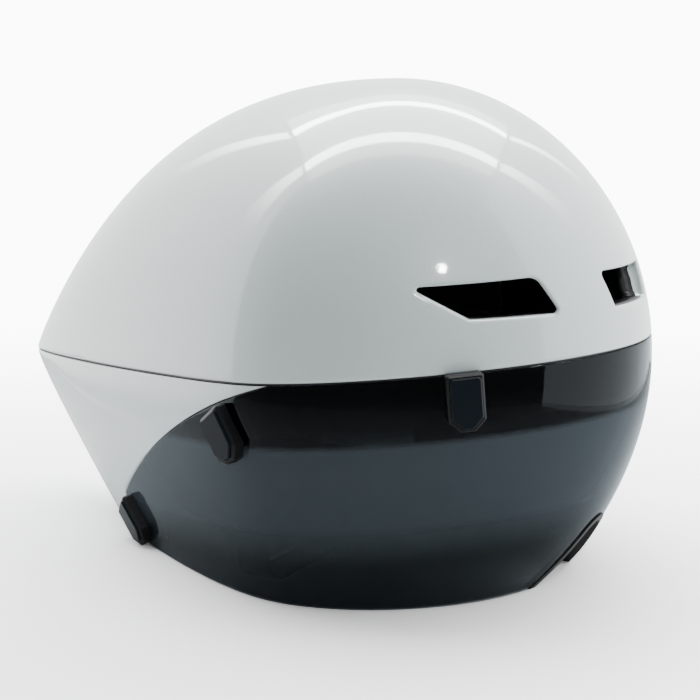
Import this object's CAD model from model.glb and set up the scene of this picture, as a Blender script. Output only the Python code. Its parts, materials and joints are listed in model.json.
import json
import math

import bmesh
import bpy
import numpy as np
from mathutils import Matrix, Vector


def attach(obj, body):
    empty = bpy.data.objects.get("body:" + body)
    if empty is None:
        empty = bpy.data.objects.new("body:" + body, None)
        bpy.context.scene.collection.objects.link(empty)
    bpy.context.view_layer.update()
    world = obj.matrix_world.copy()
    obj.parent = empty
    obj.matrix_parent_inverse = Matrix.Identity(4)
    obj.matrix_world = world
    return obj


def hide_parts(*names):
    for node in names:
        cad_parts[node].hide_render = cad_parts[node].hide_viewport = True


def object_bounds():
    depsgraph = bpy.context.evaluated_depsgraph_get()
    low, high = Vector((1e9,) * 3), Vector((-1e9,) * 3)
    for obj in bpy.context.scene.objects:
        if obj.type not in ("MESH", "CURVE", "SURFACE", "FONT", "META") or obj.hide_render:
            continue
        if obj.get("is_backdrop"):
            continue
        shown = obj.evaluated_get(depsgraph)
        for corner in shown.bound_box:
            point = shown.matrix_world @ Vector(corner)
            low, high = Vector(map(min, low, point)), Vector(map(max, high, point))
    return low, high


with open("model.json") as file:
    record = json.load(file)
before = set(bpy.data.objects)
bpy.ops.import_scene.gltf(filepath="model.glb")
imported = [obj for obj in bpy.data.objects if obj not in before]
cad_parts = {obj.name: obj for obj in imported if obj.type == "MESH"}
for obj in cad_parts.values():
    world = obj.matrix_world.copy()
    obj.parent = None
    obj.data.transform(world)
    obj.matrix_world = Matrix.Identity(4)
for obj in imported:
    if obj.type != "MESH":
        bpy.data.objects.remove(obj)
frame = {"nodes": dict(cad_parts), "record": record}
first_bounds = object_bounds()

# Lengths are in millimetres, before the shift along Y to the shared frame, unless a comment says otherwise
MM = 0.001
FRAME_SHIFT = -49.0
# Keeps divisions clear of zero
TINY = 1e-9
# Points no further apart than this are one point
SAME_PLACE = 1e-6

# The outer form, as in the part's source
HALF_WIDTH = 103.0
NOSE_REACH = 112.0
TAIL_REACH = 210.0
CROWN_HEIGHT = 208.0
NOSE_EQUATOR = 92.0
TAIL_EQUATOR = 72.0
KEEL_DEPTH = 172.0
KEEL_PLACE = 30.0
FRONT_PLAN = 0.8
TAIL_PLAN = 0.12
TAIL_PLAN_POWER = 0.83
KEEL_FRONT = 0.15
KEEL_TAIL = 0.36
SEAM_NOSE_HEIGHT = 104.0
SEAM_GAP = 0.8

# Walls and rolled edges of the shells and the visor
SHELL_WALL = 2.4
LENS_WALL = 2.0
EDGE_ROUND = 1.1
LENS_ROUND = 0.5

# Soft crease along the tail of the lower shell, with (Y, Z) places in the side view
CREASE_TAIL = (196.0, 76.0)
CREASE_MIDDLE = (136.0, 63.5)
CREASE_FRONT = (72.0, 67.0)
CREASE_DEPTH = 1.7
CREASE_STEP = 4.0
CREASE_REACH = 22.0
CREASE_END_SHARE = 1 / 3

# Visor outline, with (Y, Z) places in the side view
VISOR_TURN_Y = -2.0
VISOR_EDGE_MIDDLE = (60.0, 64.5)
VISOR_EDGE_CORNER = (112.0, 22.0)
VISOR_FOOT = (115.0, -40.0)
VISOR_EDGE_GAP = 0.8

# Vents. The centre and the direction of a side vent are in plan, and its outline is along it and up.
VENT_HEIGHT = 127.0
VENT_CORNER = 1.8
CENTRE_VENT_TOP = 20.5
CENTRE_VENT_BOTTOM = 16.5
VENT_RISE = 6.9
SIDE_VENT_CENTRE = (-63.0, -73.0)
SIDE_VENT_ALONG = (36.0, -42.8)
SIDE_VENT_POINTS = ((-28.0, 3.2), (-26.5, 4.4), (19.0, 7.0), (28.0, -5.8), (26.0, -6.6), (-8.0, -7.4))
SIDE_VENT_RADII = (0.8, 1.2, 6.0, 1.4, 1.2, 2.0)

# Rolled lip of each vent, and the dark sleeve that runs inwards from it
LIP_ROLL = 1.5
LIP_DEPTH = 0.2
SLEEVE_DEPTH = 6.0
SLEEVE_WALL = 0.6

# Nose notch
NOTCH_HALF_WIDTH = 19.0
NOTCH_PEAK = 36.0
NOTCH_FILLET = 8.0
TRIM_WIDTH = 3.0

# How the form is walked: from its middle, this far, up to this much over the seam, and in so many halvings
WALK_CENTRE_Y = 20.0
WALK_REACH = 300.0
OVERRUN = 1.0
HALVINGS = 44
FINE_WALK = 2000

# Mesh fineness. The crowding powers draw the upper shell's stations towards its nose and its tail.
ROW_COUNT = 56
COLUMN_COUNT = 110
STATION_COUNT = 90
NOSE_CROWDING = 1.5
TAIL_CROWDING = 1.4
CORNER_STEPS = 5
ROLL_STEPS = 5

# What keeps the rolled edges clean. A skin's roll is at most its length over SHORTEST_ROLLED.
SHORTEST_ROLLED = 12
STEEPEST_ROLL = 0.3
WALL_CLAMP = 2.0
RIM_WELD = 0.35
# Open edges of the upper shell this near a vent's origin and above this height are the vent's
VENT_NEIGHBOURHOOD = 60.0
HOLE_FLOOR = 112.0

# Soft pads: fineness, how far each starts inside its solid and may swell, the simulation and the filling
PAD_VOXEL = 1.6
PAD_SHRINK = 0.7
PAD_SWELL = 0.9
PAD_PRESSURE = 60.0
PAD_MASS = 0.02
PAD_FRAMES = 20

# Camera, worked out with the form from the photo. Its turns are in degrees.
CAMERA_PLACE = (-554.1, -301.2, 207.4)
CAMERA_ALPHA = 61.47
CAMERA_YAW = -1.87
CAMERA_PITCH = 10.54
CAMERA_LENS = 74.8
SENSOR_WIDTH = 36.0

# Looks
SHELL_COLOR = (0.64, 0.745, 0.74)
FLAKES_PER_METRE = 2600.0
FLOOR_COLOR = (0.93, 0.93, 0.935)
LENS_TINT = (0.255, 0.28, 0.295)
LENS_HAZE = (0.039, 0.051, 0.060)
LENS_SHEEN = (0.86, 0.95, 1.0)
LENS_POLISH = 0.02
LENS_INDEX = 1.26
# Each step is a depth under the seam, as a share of the seam's height at the nose, and the haze there
LENS_HAZE_STEPS = ((0.23, 0.02), (0.255, 0.9), (0.56, 0.8), (0.72, 0.12))

# Light tent, in metres and degrees as the camera looks
TENT_TURN = 5.0
TENT_HALF_WIDTH = 0.385
TENT_HEIGHT = 0.70
TENT_FOOT = -0.01
TENT_BACK = 0.46
LEFT_WALL_FRONT = -0.10
RIGHT_WALL_FRONT = -0.29
ROOF_FRONT = -0.12
BAR_PLACES = (-0.01, 0.295)
BAR_WIDTH = 0.06
BAR_DROP = 0.004
ROD_WIDTH = 0.018
GLEAM_FOOT = 0.30

# How bright the tent, the room and the background are
WALL_GLOW = 2.9
ROOF_GLOW = 7.0
BAR_GLOW = 60.0
GLEAM_GLOW = 30.0
ROOM_GLOW = 0.2
BACKGROUND_GLOW = 11.0

# Floor: lighter to the camera than as a lit surface, darker in reflections, and fading out, in metres
FLOOR_BOOST = 1.75
FLOOR_MIRRORED = 0.6
FLOOR_FADE_START = 0.15
FLOOR_FADE_END = 0.70

# Flash: where it is, what it looks at and its size in metres, and its radiance
FLASH_PLACE = (-0.428, -0.454, 0.477)
FLASH_AIM = (-0.074, -0.108, 0.138)
FLASH_SIZE = (0.028, 0.034)
FLASH_GLOW = 300.0


# The outer form and the places on it

def soft_share(share, corner):
    """Runs from 0 to 1 with share, flat at the start. A small corner makes it nearly straight."""
    return (np.hypot(share, corner) - corner) / (math.hypot(1, corner) - corner)


def seam_height(y):
    """Height of the seam between the shells at y."""
    rise = SEAM_NOSE_HEIGHT - TAIL_EQUATOR
    return TAIL_EQUATOR + rise * (TAIL_REACH - y) / (NOSE_REACH + TAIL_REACH)


def section_sizes(y):
    """Half width, equator height, rise above it and depth below it at stations y."""
    y = np.clip(np.asarray(y, float), -NOSE_REACH, TAIL_REACH)
    front = np.maximum(-y, 0) / NOSE_REACH
    rear = np.maximum(y, 0) / TAIL_REACH
    run = (y + NOSE_REACH) / (NOSE_REACH + TAIL_REACH)
    equator = NOSE_EQUATOR + (TAIL_EQUATOR - NOSE_EQUATOR) * run
    front_width = np.sqrt(np.maximum(1 - soft_share(front, FRONT_PLAN), 0))
    rear_width = np.maximum(1 - soft_share(rear, TAIL_PLAN), 0) ** TAIL_PLAN_POWER
    front_rise = np.sqrt(np.maximum(1 - front**2, 0))
    # The crown falls to the tail by two parts of a square and one of a cube
    rear_rise = 1 - (2 * rear**2 + rear**3) / 3
    width = HALF_WIDTH * np.where(y <= 0, front_width, rear_width)
    rise = (CROWN_HEIGHT - equator) * np.where(y <= 0, front_rise, rear_rise)
    near = np.clip((KEEL_PLACE - y) / (NOSE_REACH + KEEL_PLACE), 0, 1)
    far = np.clip((y - KEEL_PLACE) / (TAIL_REACH - KEEL_PLACE), 0, 1)
    near_depth = np.sqrt(np.maximum(1 - soft_share(near, KEEL_FRONT), 0))
    far_depth = 1 - soft_share(far, KEEL_TAIL)
    depth = KEEL_DEPTH * np.where(y <= KEEL_PLACE, near_depth, far_depth)
    return width, equator, rise, depth


def inside_form(x, y, z):
    """Whether places are inside the outer form."""
    width, equator, rise, depth = section_sizes(y)
    reach = np.where(z > equator, rise, depth)
    level = (x / np.maximum(width, TINY)) ** 2 + ((z - equator) / np.maximum(reach, TINY)) ** 2
    return (level < 1) & (y > -NOSE_REACH) & (y < TAIL_REACH)


def walk_out(turn, z):
    """Place on the form at height z, straight out from the middle in direction turn."""
    near = np.zeros(np.broadcast(turn, z).shape)
    far = np.full(near.shape, WALK_REACH)
    for _ in range(HALVINGS):
        middle = (near + far) / 2
        inside = inside_form(middle * np.sin(turn), WALK_CENTRE_Y - middle * np.cos(turn), z)
        near = np.where(inside, middle, near)
        far = np.where(inside, far, middle)
    return near * np.sin(turn), WALK_CENTRE_Y - near * np.cos(turn)


def arc_height(y, first, middle, last):
    """Height at y of the circle through three places in the side view."""
    first, middle, last = (np.array(place) for place in (first, middle, last))
    rows = np.array((middle - first, last - first))
    sums = np.array(((middle**2 - first**2).sum() / 2, (last**2 - first**2).sum() / 2))
    centre = np.linalg.solve(rows, sums)
    radius = np.linalg.norm(first - centre)
    side = math.copysign(1, middle[1] - centre[1])
    return centre[1] + side * np.sqrt(np.maximum(radius**2 - (y - centre[0]) ** 2, 0))


def visor_edge_height(y, growth=0.0):
    """Height of the visor's rear edge at y, and far above the seam before the edge starts."""
    start = (VISOR_TURN_Y, seam_height(VISOR_TURN_Y))
    corner = VISOR_EDGE_CORNER
    y = np.asarray(y, float) - growth
    arc = arc_height(y, start, VISOR_EDGE_MIDDLE, corner)
    foot = corner[1] + (y - corner[0]) * (VISOR_FOOT[1] - corner[1]) / (VISOR_FOOT[0] - corner[0])
    height = np.where(y > corner[0], foot, arc)
    return np.where(y < VISOR_TURN_Y, CROWN_HEIGHT, height)


def topmost(turn, reaches):
    """For each direction, the height up to which reaches(y, z) holds along the form."""
    below = np.zeros(turn.shape)
    above = np.full(turn.shape, SEAM_NOSE_HEIGHT + OVERRUN)
    for _ in range(HALVINGS // 2):
        middle = (below + above) / 2
        good = reaches(walk_out(turn, middle)[1], middle)
        below = np.where(good, middle, below)
        above = np.where(good, above, middle)
    return below


def even_turns(start, end, count, height):
    """Directions from start to end that space the form's outline evenly at one height."""
    fine = np.linspace(start, end, FINE_WALK)
    x, y = walk_out(fine, np.full(fine.shape, height))
    run = np.concatenate(([0], np.cumsum(np.hypot(np.diff(x), np.diff(y)))))
    return np.interp(np.linspace(0, run[-1], count), run, fine)


def turn_to(y, z):
    """Direction from the middle to the form's left side at one side-view place."""
    width, equator, rise, depth = section_sizes(y)
    reach = rise if z > equator else depth
    x = width * math.sqrt(max(1 - ((z - equator) / reach) ** 2, 0))
    return math.atan2(x, WALK_CENTRE_Y - y)


# Meshes

def placed(points):
    """Modelling places in millimetres, as places of the shared frame in metres."""
    return (np.asarray(points, float) + np.array((0, FRAME_SHIFT, 0))) * MM


def turn_outwards(built):
    """Turns all faces over if they look towards the middle of the form."""
    built.normal_update()
    middle = Vector(placed((0, WALK_CENTRE_Y, NOSE_EQUATOR)))
    outward = sum(face.normal.dot(face.calc_center_median() - middle) for face in built.faces)
    if outward < 0:
        bmesh.ops.reverse_faces(built, faces=built.faces)


def grid_mesh(name, points):
    """Quads through a grid of points in millimetres, facing away from the middle of the form."""
    rows, columns, _ = points.shape
    index = np.arange(rows * columns).reshape(rows, columns)
    quads = np.stack((index[:-1, :-1], index[:-1, 1:], index[1:, 1:], index[1:, :-1]), -1)
    mesh = bpy.data.meshes.new(name)
    mesh.from_pydata(placed(points).reshape(-1, 3).tolist(), [], quads.reshape(-1, 4).tolist())
    built = bmesh.new()
    built.from_mesh(mesh)
    bmesh.ops.remove_doubles(built, verts=built.verts, dist=SAME_PLACE)
    bmesh.ops.dissolve_degenerate(built, edges=built.edges, dist=SAME_PLACE)
    turn_outwards(built)
    built.to_mesh(mesh)
    built.free()
    return mesh


def columns_between(turns, bottom, top):
    """Grid of points up the form in every direction of turns, from bottom to top."""
    share = np.linspace(0, 1, ROW_COUNT)[:, None]
    z = bottom[None, :] + (top - bottom)[None, :] * share
    x, y = walk_out(np.broadcast_to(turns, z.shape), z)
    return np.stack((x, y, z), -1)


def rolled_end(points, radius):
    """Grid whose last row rolls inwards over a quarter turn."""
    edge = points[-1]
    along = edge - points[-3]
    length = np.linalg.norm(along, axis=-1, keepdims=True)
    along = along / np.maximum(length, TINY)
    normal = np.cross(np.gradient(edge, axis=0), along)
    normal /= np.maximum(np.linalg.norm(normal, axis=-1, keepdims=True), TINY)
    facing = (normal * (edge - np.array((0, WALK_CENTRE_Y, NOSE_EQUATOR)))).sum(-1, keepdims=True)
    normal *= np.where(facing < 0, -1, 1)
    whole = np.linalg.norm(edge - points[0], axis=-1, keepdims=True)
    reach = np.minimum(np.minimum(radius, length / 2), whole / SHORTEST_ROLLED)
    turns = np.linspace(0, math.pi / 2, ROLL_STEPS + 1)
    start = edge - along * reach
    roll = [start + along * reach * math.sin(t) - normal * reach * (1 - math.cos(t)) for t in turns]
    return np.concatenate((points[:-1], roll))


def rounded(points, radii):
    """Convex outline with its corners rounded, anticlockwise. radii has one for each corner."""
    corners = [Vector(p) for p in points]
    area = sum(a.x * b.y - b.x * a.y for a, b in zip(corners, corners[1:] + corners[:1]))
    if area < 0:
        corners.reverse()
        radii = radii[::-1]
    outline = []
    for k, (corner, radius) in enumerate(zip(corners, radii)):
        before = (corners[k - 1] - corner).normalized()
        after = (corners[(k + 1) % len(corners)] - corner).normalized()
        half = math.acos(max(-1, min(1, before.dot(after)))) / 2
        centre = corner + (before + after).normalized() * (radius / math.sin(half))
        first = corner + before * (radius / math.tan(half)) - centre
        sweep = math.pi - 2 * half
        for step in range(CORNER_STEPS + 1):
            turn = sweep * step / CORNER_STEPS
            c, s = math.cos(turn), math.sin(turn)
            outline.append(centre + Vector((first.x * c - first.y * s, first.x * s + first.y * c)))
    return outline


def cut_hole(built, outline, origin, along, up, out):
    """Cuts a convex outline out of the skin near origin, where the skin faces the way of out."""
    near = [
        face
        for face in built.faces
        if (face.calc_center_median() - origin).length < VENT_NEIGHBOURHOOD * MM
        and face.normal.dot(out) > 0
    ]
    sides = []
    for a, b in zip(outline, outline[1:] + outline[:1]):
        if (b - a).length < SAME_PLACE:
            continue
        normal = along * (b - a).y - up * (b - a).x
        place = origin + along * a.x * MM + up * a.y * MM
        sides.append((place, normal.normalized()))
    for place, normal in sides:
        parts = dict.fromkeys(near)
        for face in near:
            parts.update(dict.fromkeys((*face.edges, *face.verts)))
        cut = bmesh.ops.bisect_plane(built, geom=list(parts), plane_co=place, plane_no=normal)
        near = [item for item in cut["geom"] if isinstance(item, bmesh.types.BMFace)]
    inner = []
    for face in near:
        centre = face.calc_center_median()
        if all((centre - place).dot(normal) < 0 for place, normal in sides):
            inner.append(face)
    bmesh.ops.delete(built, geom=inner, context="FACES")


def grown(outline, amount):
    """A convex outline moved outwards."""
    moved = []
    for k, point in enumerate(outline):
        ahead = (outline[(k + 1) % len(outline)] - outline[k - 1]).normalized()
        moved.append(point + Vector((ahead.y, -ahead.x)) * amount)
    return moved


def nearest_on(outline, place):
    """The point of a closed outline that is nearest to a place."""
    best = None
    for a, b in zip(outline, outline[1:] + outline[:1]):
        run = b - a
        share = max(0, min(1, (place - a).dot(run) / max(run.length_squared, TINY)))
        point = a + run * share
        if best is None or (place - point).length < (place - best).length:
            best = point
    return best


def roll_rim(built, outline, origin, along, up, out):
    """Rolls the skin over the rim of a hole into the lip inside it. Returns the lip's inner edges."""
    near = [v for v in built.verts if (v.co - origin).length < VENT_NEIGHBOURHOOD * MM and v.is_boundary]
    bmesh.ops.remove_doubles(built, verts=near, dist=RIM_WELD * MM)
    built.normal_update()
    rim = [
        edge
        for edge in built.edges
        if edge.is_boundary
        and (edge.verts[0].co - origin).length < VENT_NEIGHBOURHOOD * MM
        and edge.verts[0].co.z > HOLE_FLOOR * MM
    ]
    rings = {}
    for vert in dict.fromkeys(v for edge in rim for v in edge.verts):
        start = vert.co.copy()
        place = Vector(((start - origin).dot(along), (start - origin).dot(up))) / MM
        step = (nearest_on(outline, place) - place).normalized()
        inward = along * step.x + up * step.y
        slope = inward - vert.normal * inward.dot(vert.normal)
        run = slope * (LIP_ROLL * MM / max(slope.dot(inward), STEEPEST_ROLL))
        ring = [vert]
        for k in range(1, ROLL_STEPS + 1):
            turn = math.pi / 2 * k / ROLL_STEPS
            drop = out * (LIP_ROLL * MM * (1 - math.cos(turn)))
            ring.append(built.verts.new(start + run * math.sin(turn) - drop))
        ring.append(built.verts.new(ring[-1].co - out * LIP_DEPTH * MM))
        rings[vert] = ring
    for edge in rim:
        first, second = (rings[v] for v in edge.verts)
        for k in range(ROLL_STEPS + 1):
            built.faces.new((first[k], second[k], second[k + 1], first[k + 1]))
    return [[ring[-1].co.copy() for ring in (rings[v] for v in edge.verts)] for edge in rim]


def add_piece(name, mesh, body, stands_for, material):
    """A shown piece that rides on a body, in place of the CAD nodes that it stands for."""
    piece = bpy.data.objects.new(name, mesh)
    bpy.context.scene.collection.objects.link(piece)
    mesh.materials.append(material)
    mesh.shade_smooth()
    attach(piece, body)
    if stands_for:
        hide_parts(*stands_for)
    return piece


def thicken(piece, wall):
    """Gives a skin its wall, on the side that its faces look away from."""
    solid = piece.modifiers.new("wall", "SOLIDIFY")
    solid.thickness = wall * MM
    solid.offset = -1
    solid.thickness_clamp = WALL_CLAMP


# Shells, vents and visor

def upper_points():
    """Grid of the upper shell's skin, station by station from nose to tail."""

    def rise_over_seam(y):
        width, equator, rise, depth = section_sizes(y)
        return rise - (seam_height(y) + SEAM_GAP / 2 - equator)

    def crossing(low_y, high_y):
        for _ in range(HALVINGS):
            middle = (low_y + high_y) / 2
            if (rise_over_seam(middle) > 0) == (rise_over_seam(0) > 0):
                high_y = middle
            else:
                low_y = middle
        return high_y

    front = crossing(-NOSE_REACH, 0)
    tail = crossing(TAIL_REACH, 0)
    first = math.acos(-front / NOSE_REACH)
    angles = first + (math.pi / 2 - first) * np.linspace(0, 1, STATION_COUNT) ** NOSE_CROWDING
    front_y = -NOSE_REACH * np.cos(angles)
    share = 1 - (1 - np.linspace(0, 1, 2 * STATION_COUNT)) ** TAIL_CROWDING
    y = np.concatenate((front_y, (tail * share)[1:]))
    width, equator, rise, depth = section_sizes(y)
    lift = np.clip((seam_height(y) + SEAM_GAP / 2 - equator) / np.maximum(rise, TINY), 0, 1)
    start = np.arcsin(lift)
    share = np.linspace(0, 1, 2 * COLUMN_COUNT)[None, :]
    turn = start[:, None] + (math.pi - 2 * start)[:, None] * share
    x = width[:, None] * np.cos(turn)
    z = equator[:, None] + rise[:, None] * np.sin(turn)
    points = np.stack((x, np.broadcast_to(y[:, None], x.shape), z), -1).swapaxes(0, 1)
    both_ends = rolled_end(rolled_end(points, EDGE_ROUND)[::-1], EDGE_ROUND)
    return both_ends.swapaxes(0, 1)


def vent_frames():
    """Each vent's outline in millimetres, its origin in metres and its directions along and up."""
    up = Vector((0, 0, 1))
    centre_outline = rounded(
        (
            (-CENTRE_VENT_BOTTOM, -VENT_RISE),
            (CENTRE_VENT_BOTTOM, -VENT_RISE),
            (CENTRE_VENT_TOP, VENT_RISE),
            (-CENTRE_VENT_TOP, VENT_RISE),
        ),
        (VENT_CORNER,) * 4,
    )
    yield centre_outline, Vector(placed((0, -NOSE_REACH, VENT_HEIGHT))), Vector((1, 0, 0)), up
    along = Vector((*SIDE_VENT_ALONG, 0)).normalized()
    side_outline = rounded(SIDE_VENT_POINTS, SIDE_VENT_RADII)
    yield side_outline, Vector(placed((*SIDE_VENT_CENTRE, VENT_HEIGHT))), along, up
    mirrored = [Vector((-p.x, p.y)) for p in reversed(side_outline)]
    other = Vector(placed((-SIDE_VENT_CENTRE[0], SIDE_VENT_CENTRE[1], VENT_HEIGHT)))
    yield mirrored, other, Vector((along.x, -along.y, 0)), up


def build_upper_shell(material):
    """Builds the upper shell. Returns each vent's inner edges, origin and outward direction."""
    mesh = grid_mesh("upper_shell_skin", upper_points())
    built = bmesh.new()
    built.from_mesh(mesh)
    rims = []
    for outline, origin, along, up in vent_frames():
        out = along.cross(up)
        cut_hole(built, grown(outline, LIP_ROLL), origin, along, up, out)
        rims.append((roll_rim(built, outline, origin, along, up, out), origin, out))
    bmesh.ops.recalc_face_normals(built, faces=built.faces)
    turn_outwards(built)
    built.to_mesh(mesh)
    built.free()
    shell = add_piece("upper_shell_skin", mesh, "helmet", ["upper_shell"], material)
    thicken(shell, SHELL_WALL)
    return rims


def build_vent_sleeves(rims, material):
    """Dark sleeves that run inwards from the inner edges of the vents' lips."""
    points, quads = [], []
    for edges, origin, out in rims:
        inward = -out * SLEEVE_DEPTH * MM
        for first, second in edges:
            if (second - first).cross(inward).dot(origin - first) < 0:
                first, second = second, first
            quad = (first, second, second + inward, first + inward)
            quads.append(range(len(points), len(points) + len(quad)))
            points += quad
    mesh = bpy.data.meshes.new("vent_sleeves")
    mesh.from_pydata(points, [], quads)
    built = bmesh.new()
    built.from_mesh(mesh)
    bmesh.ops.remove_doubles(built, verts=built.verts, dist=SAME_PLACE)
    built.to_mesh(mesh)
    built.free()
    sleeves = add_piece("vent_sleeves", mesh, "helmet", [], material)
    thicken(sleeves, SLEEVE_WALL)


def smooth_step(share):
    """Runs from 0 to 1 with share, flat at both ends."""
    share = np.clip(share, 0, 1)
    return share * share * (3 - 2 * share)


def pressed_in(points):
    """The lower shell's points with the crease pressed in along the tail."""
    x, y, z = points[..., 0], points[..., 1], points[..., 2]
    below = arc_height(y, CREASE_TAIL, CREASE_MIDDLE, CREASE_FRONT) - z
    along = (y - CREASE_FRONT[0]) / (CREASE_TAIL[0] - CREASE_FRONT[0])
    ends = smooth_step(along / CREASE_END_SHARE) * smooth_step((1 - along) / CREASE_END_SHARE)
    fade = np.exp(-np.maximum(below - CREASE_STEP, 0) / CREASE_REACH)
    depth = CREASE_DEPTH * ends * smooth_step(below / CREASE_STEP) * fade
    reach = np.hypot(x, y - WALK_CENTRE_Y)
    share = 1 - depth / reach
    return np.stack((x * share, WALK_CENTRE_Y + (y - WALK_CENTRE_Y) * share, z), -1)


def build_lower_shell(material):
    """The lower shell, from the visor's rear edge round the tail."""
    turn = turn_to(VISOR_TURN_Y + VISOR_EDGE_GAP, seam_height(VISOR_TURN_Y))
    near = even_turns(turn, math.pi, COLUMN_COUNT, TAIL_EQUATOR)
    turns = np.concatenate((near, 2 * math.pi - near[-2::-1]))
    top = topmost(turns, lambda y, z: z < seam_height(y) - SEAM_GAP / 2)
    edge = topmost(turns, lambda y, z: z < visor_edge_height(y, VISOR_EDGE_GAP))
    points = columns_between(turns, np.minimum(np.maximum(edge, 0), top), top)
    points = rolled_end(rolled_end(pressed_in(points), EDGE_ROUND)[::-1], EDGE_ROUND)
    mesh = grid_mesh("lower_shell_skin", points)
    shell = add_piece("lower_shell_skin", mesh, "helmet", ["lower_shell"], material)
    thicken(shell, SHELL_WALL)


def notch_outline(growth):
    """The nose arch, wide of the table line so that the cut runs out at the bottom."""
    arch = rounded(
        (
            (-2 * NOTCH_HALF_WIDTH, -NOTCH_PEAK),
            (2 * NOTCH_HALF_WIDTH, -NOTCH_PEAK),
            (0, NOTCH_PEAK),
        ),
        (NOTCH_FILLET,) * 3,
    )
    return grown(arch, growth)


def build_visor(material):
    """The visor, with the nose notch cut out of it."""
    corner = turn_to(VISOR_TURN_Y, seam_height(VISOR_TURN_Y) - SEAM_GAP / 2)
    corner_y, corner_z = VISOR_EDGE_CORNER
    foot_y, foot_z = VISOR_FOOT
    last = turn_to(corner_y + (foot_y - corner_y) * corner_z / (corner_z - foot_z), 0)
    front = even_turns(0, corner, COLUMN_COUNT, TAIL_EQUATOR)
    rear = even_turns(corner, last, COLUMN_COUNT, TAIL_EQUATOR / 2)
    half = np.concatenate((front, rear[1:]))
    turns = np.concatenate((-half[:0:-1], half))
    top = topmost(
        turns,
        lambda y, z: (z < seam_height(y) - SEAM_GAP / 2) & (z < visor_edge_height(y)),
    )
    points = columns_between(turns, np.zeros(turns.shape), top)
    mesh = grid_mesh("visor_skin", rolled_end(points, LENS_ROUND))
    built = bmesh.new()
    built.from_mesh(mesh)
    origin = Vector(placed((0, -NOSE_REACH, 0)))
    across, up, out = Vector((1, 0, 0)), Vector((0, 0, 1)), Vector((0, -1, 0))
    cut_hole(built, notch_outline(TRIM_WIDTH), origin, across, up, out)
    built.to_mesh(mesh)
    built.free()
    visor = add_piece("visor_skin", mesh, "visor", ["visor_lens"], material)
    thicken(visor, LENS_WALL)


# Looks

def shader(name, color, roughness, **extra):
    """A plain surface whose uniform values sit on the shader itself."""
    material = bpy.data.materials.new(name)
    material.use_nodes = True
    node = material.node_tree.nodes["Principled BSDF"]
    node.inputs["Base Color"].default_value = (*color, 1)
    node.inputs["Roughness"].default_value = roughness
    for key, value in extra.items():
        node.inputs[key.replace("_", " ")].default_value = value
    return material


def new_material(name):
    """A material that has no shader yet, with its nodes and links."""
    material = bpy.data.materials.new(name)
    material.use_nodes = True
    nodes, links = material.node_tree.nodes, material.node_tree.links
    nodes.remove(nodes["Principled BSDF"])
    return material, nodes, links


def add_node(nodes, kind, values=None, **settings):
    """Adds a shader node. values holds what its inputs are set to, by name or number."""
    node = nodes.new("ShaderNode" + kind)
    for key, value in settings.items():
        setattr(node, key, value)
    for key, value in (values or {}).items():
        node.inputs[key].default_value = value
    return node


def roughen(material, scale, height, pattern="NOISE"):
    """Adds a fine relief to a surface. scale is in features per metre, height in metres."""
    nodes, links = material.node_tree.nodes, material.node_tree.links
    kind = {"NOISE": "TexNoise", "CELLS": "TexVoronoi", "RIBS": "TexWave"}[pattern]
    place = add_node(nodes, "TexCoord")
    texture = add_node(nodes, kind, {"Scale": scale})
    bump = add_node(nodes, "Bump", {"Distance": height})
    level = "Distance" if pattern == "CELLS" else "Fac"
    links.new(place.outputs["Object"], texture.inputs["Vector"])
    links.new(texture.outputs[level], bump.inputs["Height"])
    links.new(bump.outputs["Normal"], nodes["Principled BSDF"].inputs["Normal"])
    return material


def flaked(material, color, spread):
    """Adds a very fine flake, as small steps of lightness from cell to cell."""
    nodes, links = material.node_tree.nodes, material.node_tree.links
    dark, light = ((*(c * level for c in color), 1) for level in (1 - spread, 1 + spread))
    place = add_node(nodes, "TexCoord")
    cells = add_node(nodes, "TexVoronoi", {"Scale": FLAKES_PER_METRE})
    tone = add_node(nodes, "Mix", {"A": dark, "B": light}, data_type="RGBA")
    links.new(place.outputs["Object"], cells.inputs["Vector"])
    links.new(cells.outputs["Color"], tone.inputs["Factor"])
    links.new(tone.outputs["Result"], nodes["Principled BSDF"].inputs["Base Color"])
    return material


def haze_level(nodes, links):
    """How hazy the lens is, by its steps of depth under the seam."""
    slope = (SEAM_NOSE_HEIGHT - TAIL_EQUATOR) / (NOSE_REACH + TAIL_REACH)
    place = add_node(nodes, "TexCoord")
    part = add_node(nodes, "SeparateXYZ")
    risen = add_node(nodes, "Math", {1: slope}, operation="MULTIPLY_ADD")
    below = add_node(nodes, "Math", {0: seam_height(-FRAME_SHIFT) * MM}, operation="SUBTRACT")
    share = add_node(nodes, "Math", {1: SEAM_NOSE_HEIGHT * MM}, operation="DIVIDE")
    ramp = add_node(nodes, "ValToRGB")
    steps = ramp.color_ramp.elements
    ready = len(steps)
    for k, (depth, level) in enumerate(LENS_HAZE_STEPS):
        step = steps[k] if k < ready else steps.new(1)
        step.position = depth
        step.color = (level, level, level, 1)
    links.new(place.outputs["Object"], part.inputs["Vector"])
    links.new(part.outputs["Y"], risen.inputs[0])
    links.new(part.outputs["Z"], risen.inputs[2])
    links.new(risen.outputs["Value"], below.inputs[1])
    links.new(below.outputs["Value"], share.inputs[0])
    links.new(share.outputs["Value"], ramp.inputs["Fac"])
    return ramp.outputs["Color"]


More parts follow.
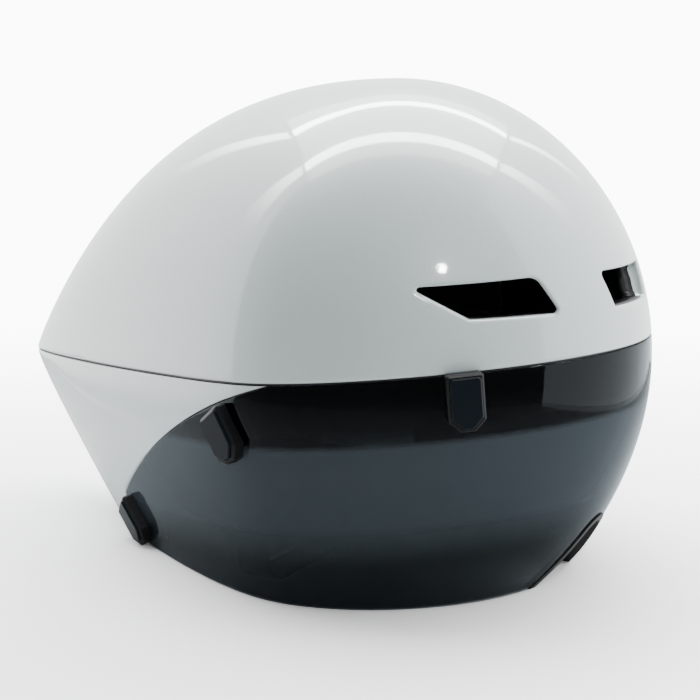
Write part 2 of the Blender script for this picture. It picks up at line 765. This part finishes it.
def lens_material(name):
    """Thin smoked lens: tinted straight through, with a clear reflection on faces met from outside."""
    material, nodes, links = new_material(name)
    clear = add_node(nodes, "BsdfTransparent", {"Color": (*LENS_TINT, 1)})
    haze = add_node(nodes, "BsdfDiffuse", {"Color": (*LENS_HAZE, 1)})
    body = add_node(nodes, "MixShader")
    links.new(haze_level(nodes, links), body.inputs["Fac"])
    links.new(clear.outputs["BSDF"], body.inputs[1])
    links.new(haze.outputs["BSDF"], body.inputs[2])
    mirror = add_node(nodes, "BsdfAnisotropic", {"Color": (*LENS_SHEEN, 1), "Roughness": LENS_POLISH})
    fresnel = add_node(nodes, "Fresnel", {"IOR": LENS_INDEX})
    side = add_node(nodes, "NewGeometry")
    front = add_node(nodes, "Math", {0: 1}, operation="SUBTRACT")
    share = add_node(nodes, "Math", operation="MULTIPLY")
    both = add_node(nodes, "MixShader")
    links.new(side.outputs["Backfacing"], front.inputs[1])
    links.new(fresnel.outputs["Fac"], share.inputs[0])
    links.new(front.outputs["Value"], share.inputs[1])
    links.new(share.outputs["Value"], both.inputs["Fac"])
    links.new(body.outputs["Shader"], both.inputs[1])
    links.new(mirror.outputs["BSDF"], both.inputs[2])
    links.new(both.outputs["Shader"], nodes["Material Output"].inputs["Surface"])
    return material


looks = {
    "shell_gloss": flaked(
        shader("shell_gloss", SHELL_COLOR, roughness=0.38, Coat_Weight=1.0, Coat_Roughness=0.06),
        SHELL_COLOR,
        spread=0.03,
    ),
    "smoked_lens": lens_material("smoked_lens"),
    "black_rubber": shader("black_rubber", color=(0.012, 0.013, 0.015), roughness=0.45),
    "black_foam": roughen(
        shader("black_foam", color=(0.018, 0.02, 0.022), roughness=0.6),
        scale=420,
        height=0.0002,
        pattern="CELLS",
    ),
    "pad_fabric": roughen(
        shader("pad_fabric", color=(0.045, 0.045, 0.05), roughness=0.9, Sheen_Weight=0.3),
        scale=1500,
        height=0.0003,
    ),
    "webbing": roughen(
        shader("webbing", color=(0.03, 0.03, 0.033), roughness=0.85),
        scale=260,
        height=0.0002,
        pattern="RIBS",
    ),
    "black_plastic": roughen(
        shader("black_plastic", color=(0.035, 0.036, 0.038), roughness=0.42),
        scale=1800,
        height=0.00003,
    ),
    "gear_plastic": shader("gear_plastic", color=(0.55, 0.55, 0.52), roughness=0.4),
    "knob_rubber": shader("knob_rubber", color=(0.03, 0.031, 0.034), roughness=0.5),
    "clip_base": shader("clip_base", color=(0.006, 0.007, 0.008), roughness=0.4, Specular_IOR_Level=0.25),
    "clip_face": shader("clip_face", color=(0.004, 0.008, 0.012), roughness=0.3, Specular_IOR_Level=0.15),
    "screw_steel": shader("screw_steel", color=(0.5, 0.5, 0.5), roughness=0.3, Metallic=1.0),
    "magnet_nickel": shader("magnet_nickel", color=(0.72, 0.72, 0.7), roughness=0.15, Metallic=1.0),
}


def dress_nodes():
    """Gives each CAD node the look of its slot."""
    slots = {part["node"]: part["material_slot"] for part in frame["record"]["subparts"]}
    for name, node in frame["nodes"].items():
        node.data.materials.clear()
        node.data.materials.append(looks[slots[name]])


# Soft pads

def soft_mesh(node):
    """Even, slightly smaller mesh of a pad's solid, in the shared frame."""
    mesh = bpy.data.meshes.new(node.name + "_form")
    built = bmesh.new()
    built.from_mesh(node.data)
    built.transform(node.matrix_world)
    bmesh.ops.remove_doubles(built, verts=built.verts, dist=SAME_PLACE)
    built.to_mesh(mesh)
    built.free()
    form = bpy.data.objects.new(node.name + "_form", mesh)
    bpy.context.scene.collection.objects.link(form)
    even = form.modifiers.new("even", "REMESH")
    even.mode = "VOXEL"
    even.voxel_size = PAD_VOXEL * MM
    depsgraph = bpy.context.evaluated_depsgraph_get()
    made = bpy.data.meshes.new_from_object(form.evaluated_get(depsgraph))
    bpy.data.objects.remove(form)
    normals = [vert.normal.copy() for vert in made.vertices]
    for vert, normal in zip(made.vertices, normals):
        vert.co -= normal * (PAD_SHRINK * MM)
    return made


def swell(piece):
    """Blows a pad up as cloth, and keeps each point within the allowed swelling."""
    cloth = piece.modifiers.new("swell", "CLOTH")
    settings = cloth.settings
    settings.use_pressure = True
    settings.uniform_pressure_force = PAD_PRESSURE
    settings.mass = PAD_MASS
    settings.effector_weights.gravity = 0
    cloth.point_cache.frame_end = PAD_FRAMES
    scene = bpy.context.scene
    for number in range(1, PAD_FRAMES + 1):
        scene.frame_set(number)
    depsgraph = bpy.context.evaluated_depsgraph_get()
    blown = [vert.co.copy() for vert in piece.evaluated_get(depsgraph).data.vertices]
    piece.modifiers.remove(cloth)
    scene.frame_set(1)
    for vert, place in zip(piece.data.vertices, blown):
        step = place - vert.co
        if step.length > PAD_SWELL * MM:
            step *= PAD_SWELL * MM / step.length
        vert.co += step


def build_pad(name, body, material):
    """A padded piece in place of a pad's solid. The quick export leaves it unswollen."""
    node = frame["nodes"][name]
    piece = add_piece(name + "_soft", soft_mesh(node), body, [name], material)
    swell(piece)
    finer = piece.modifiers.new("finer", "SUBSURF")
    finer.levels = finer.render_levels = 1


# Camera, lights, floor and background

def view_direction():
    """The way the camera looks."""
    alpha, yaw, pitch = (math.radians(v) for v in (CAMERA_ALPHA, CAMERA_YAW, CAMERA_PITCH))
    ahead_x = math.sin(alpha) * math.cos(yaw) + math.cos(alpha) * math.sin(yaw)
    ahead_y = math.cos(alpha) * math.cos(yaw) - math.sin(alpha) * math.sin(yaw)
    return Vector((ahead_x * math.cos(pitch), ahead_y * math.cos(pitch), -math.sin(pitch)))


def build_camera():
    """The photo's camera."""
    data = bpy.data.cameras.new("camera")
    data.lens = CAMERA_LENS
    data.sensor_width = SENSOR_WIDTH
    camera = bpy.data.objects.new("camera", data)
    bpy.context.scene.collection.objects.link(camera)
    camera.location = placed(CAMERA_PLACE)
    camera.rotation_mode = "QUATERNION"
    camera.rotation_quaternion = view_direction().to_track_quat("-Z", "Y")
    bpy.context.scene.camera = camera


def glow(name, strength):
    """A surface that only shines."""
    material, nodes, links = new_material(name)
    light = add_node(nodes, "Emission", {"Strength": strength})
    links.new(light.outputs["Emission"], nodes["Material Output"].inputs["Surface"])
    return material


def tent_place(right, ahead, height):
    """A place in the light tent, from metres to the right, ahead and up as the camera looks."""
    turn = math.radians(CAMERA_ALPHA + CAMERA_YAW + TENT_TURN)
    along = Vector((math.sin(turn), math.cos(turn), 0))
    side = Vector((along.y, -along.x, 0))
    return side * right + along * ahead + Vector((0, 0, height))


def tent_panel(name, corners, material):
    """Flat light that lights and reflects but isn't seen itself."""
    mesh = bpy.data.meshes.new(name)
    mesh.from_pydata([tent_place(*corner) for corner in corners], [], [(0, 1, 2, 3)])
    mesh.materials.append(material)
    panel = bpy.data.objects.new(name, mesh)
    bpy.context.scene.collection.objects.link(panel)
    panel.visible_camera = False
    panel.visible_shadow = False
    panel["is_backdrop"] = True
    return panel


def upright(name, first, second, material):
    """Wall panel of the tent between two places on the floor plan."""
    low, high = TENT_FOOT, TENT_HEIGHT
    tent_panel(name, ((*first, low), (*second, low), (*second, high), (*first, high)), material)


def flat_panel(name, left, right, near, far, height, material):
    """Level panel of the tent."""
    corners = ((left, near, height), (right, near, height), (right, far, height), (left, far, height))
    return tent_panel(name, corners, material)


def build_tent():
    """The photo's light tent: lit walls and ceiling with two bright bars, open towards the camera."""
    wall = glow("tent_wall", WALL_GLOW)
    roof = glow("tent_roof", ROOF_GLOW)
    bar = glow("tent_bar", BAR_GLOW)
    half, back = TENT_HALF_WIDTH, TENT_BACK
    upright("tent_left", (-half, LEFT_WALL_FRONT), (-half, back), wall)
    upright("tent_right", (half, RIGHT_WALL_FRONT), (half, back), wall)
    upright("tent_rear", (-half, back), (half, back), wall)
    flat_panel("tent_roof", -half, half, ROOF_FRONT, back, TENT_HEIGHT, roof)
    for k, place in enumerate(BAR_PLACES):
        near, far = place - BAR_WIDTH / 2, place + BAR_WIDTH / 2
        panel = flat_panel(f"tent_bar_{k}", -half, half, near, far, TENT_HEIGHT - BAR_DROP, bar)
        panel.visible_diffuse = False


def falling_glow(name, strength):
    """Glow that fades from the tent's roof down to where the wall gleams end."""
    material = glow(name, strength)
    nodes, links = material.node_tree.nodes, material.node_tree.links
    place = add_node(nodes, "TexCoord")
    height = add_node(nodes, "SeparateXYZ")
    reach = {"From Min": GLEAM_FOOT, "From Max": TENT_HEIGHT, "To Min": WALL_GLOW, "To Max": strength}
    fade = add_node(nodes, "MapRange", reach, interpolation_type="SMOOTHSTEP")
    links.new(place.outputs["Object"], height.inputs["Vector"])
    links.new(height.outputs["Z"], fade.inputs["Value"])
    links.new(fade.outputs["Result"], nodes["Emission"].inputs["Strength"])
    return material


def build_wall_gleams():
    """The bars' light down the side walls, and the dark frame rods at the roof's sides."""
    gleam = falling_glow("tent_gleam", GLEAM_GLOW)
    rod = glow("tent_rod", ROOM_GLOW)
    for side in (-1, 1):
        wall = side * (TENT_HALF_WIDTH - BAR_DROP)
        inner = side * (TENT_HALF_WIDTH - ROD_WIDTH)
        mark = "left" if side < 0 else "right"
        height = TENT_HEIGHT - 2 * BAR_DROP
        pieces = [flat_panel(f"tent_rod_{mark}", wall, inner, ROOF_FRONT, TENT_BACK, height, rod)]
        for k, place in enumerate(BAR_PLACES):
            near, far = place - BAR_WIDTH / 2, place + BAR_WIDTH / 2
            low, high = GLEAM_FOOT, TENT_HEIGHT - ROD_WIDTH
            corners = ((wall, near, low), (wall, far, low), (wall, far, high), (wall, near, high))
            pieces.append(tent_panel(f"tent_gleam_{mark}_{k}", corners, gleam))
        for piece in pieces:
            piece.visible_diffuse = False


def floor_color(share):
    """The floor's color at a share of its lightness."""
    return (*(share * c for c in FLOOR_COLOR), 1)


def build_floor():
    """Pale floor that fades into the white background, and is clear from below."""
    size = FLOOR_FADE_END
    corners = ((-size, -size, 0), (size, -size, 0), (size, size, 0), (-size, size, 0))
    mesh = bpy.data.meshes.new("floor")
    mesh.from_pydata(corners, [], [(0, 1, 2, 3)])
    floor = bpy.data.objects.new("floor", mesh)
    bpy.context.scene.collection.objects.link(floor)
    material, nodes, links = new_material("floor")
    ground = add_node(nodes, "BsdfDiffuse")
    ray = add_node(nodes, "LightPath")
    seen = {"A": floor_color(1), "B": floor_color(FLOOR_BOOST)}
    tone = add_node(nodes, "Mix", seen, data_type="RGBA")
    mirrored = add_node(nodes, "Mix", {"B": floor_color(FLOOR_MIRRORED)}, data_type="RGBA")
    links.new(ray.outputs["Is Camera Ray"], tone.inputs["Factor"])
    links.new(ray.outputs["Is Glossy Ray"], mirrored.inputs["Factor"])
    links.new(tone.outputs["Result"], mirrored.inputs["A"])
    links.new(mirrored.outputs["Result"], ground.inputs["Color"])
    place = add_node(nodes, "TexCoord")
    reach = add_node(nodes, "VectorMath", operation="LENGTH")
    span = {"From Min": FLOOR_FADE_START, "From Max": FLOOR_FADE_END}
    fade = add_node(nodes, "MapRange", span, interpolation_type="SMOOTHSTEP")
    side = add_node(nodes, "NewGeometry")
    open_share = add_node(nodes, "Math", operation="MAXIMUM")
    clear = add_node(nodes, "BsdfTransparent")
    both = add_node(nodes, "MixShader")
    links.new(place.outputs["Object"], reach.inputs[0])
    links.new(reach.outputs["Value"], fade.inputs["Value"])
    links.new(fade.outputs["Result"], open_share.inputs[0])
    links.new(side.outputs["Backfacing"], open_share.inputs[1])
    links.new(open_share.outputs["Value"], both.inputs["Fac"])
    links.new(ground.outputs["BSDF"], both.inputs[1])
    links.new(clear.outputs["BSDF"], both.inputs[2])
    links.new(both.outputs["Shader"], nodes["Material Output"].inputs["Surface"])
    mesh.materials.append(material)
    floor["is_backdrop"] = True


def build_world():
    """White to look at, and dim as a light, like the room outside the tent."""
    world = bpy.data.worlds.new("world")
    world.use_nodes = True
    nodes, links = world.node_tree.nodes, world.node_tree.links
    ray = add_node(nodes, "LightPath")
    level = add_node(nodes, "MapRange", {"To Min": ROOM_GLOW, "To Max": BACKGROUND_GLOW})
    links.new(ray.outputs["Is Camera Ray"], level.inputs["Value"])
    links.new(level.outputs["Result"], nodes["Background"].inputs["Strength"])
    nodes["Background"].inputs["Color"].default_value = (1, 1, 1, 1)
    bpy.context.scene.world = world


def build_flash():
    """The small rectangular light of the phone's flash."""
    data = bpy.data.lights.new("flash", "AREA")
    data.shape = "RECTANGLE"
    data.size, data.size_y = FLASH_SIZE
    data.energy = FLASH_GLOW * math.pi * FLASH_SIZE[0] * FLASH_SIZE[1]
    light = bpy.data.objects.new("flash", data)
    bpy.context.scene.collection.objects.link(light)
    light.location = FLASH_PLACE
    light.rotation_mode = "QUATERNION"
    light.rotation_quaternion = (Vector(FLASH_AIM) - Vector(FLASH_PLACE)).to_track_quat("-Z", "Y")
    light.visible_camera = False


# The whole scene

dress_nodes()
vent_rims = build_upper_shell(looks["shell_gloss"])
build_vent_sleeves(vent_rims, looks["clip_base"])
build_lower_shell(looks["shell_gloss"])
build_visor(looks["smoked_lens"])
for name in ("brow_pad", "left_side_pad", "right_side_pad", "crown_pads"):
    build_pad(name, "helmet", looks["pad_fabric"])
build_pad("nape_pads", "cradle", looks["pad_fabric"])
build_pad("chin_pad", "helmet", looks["pad_fabric"])
build_camera()
build_floor()
build_world()
build_tent()
build_wall_gleams()
build_flash()

[[list(corner) for corner in bounds] for bounds in (first_bounds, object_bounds())]
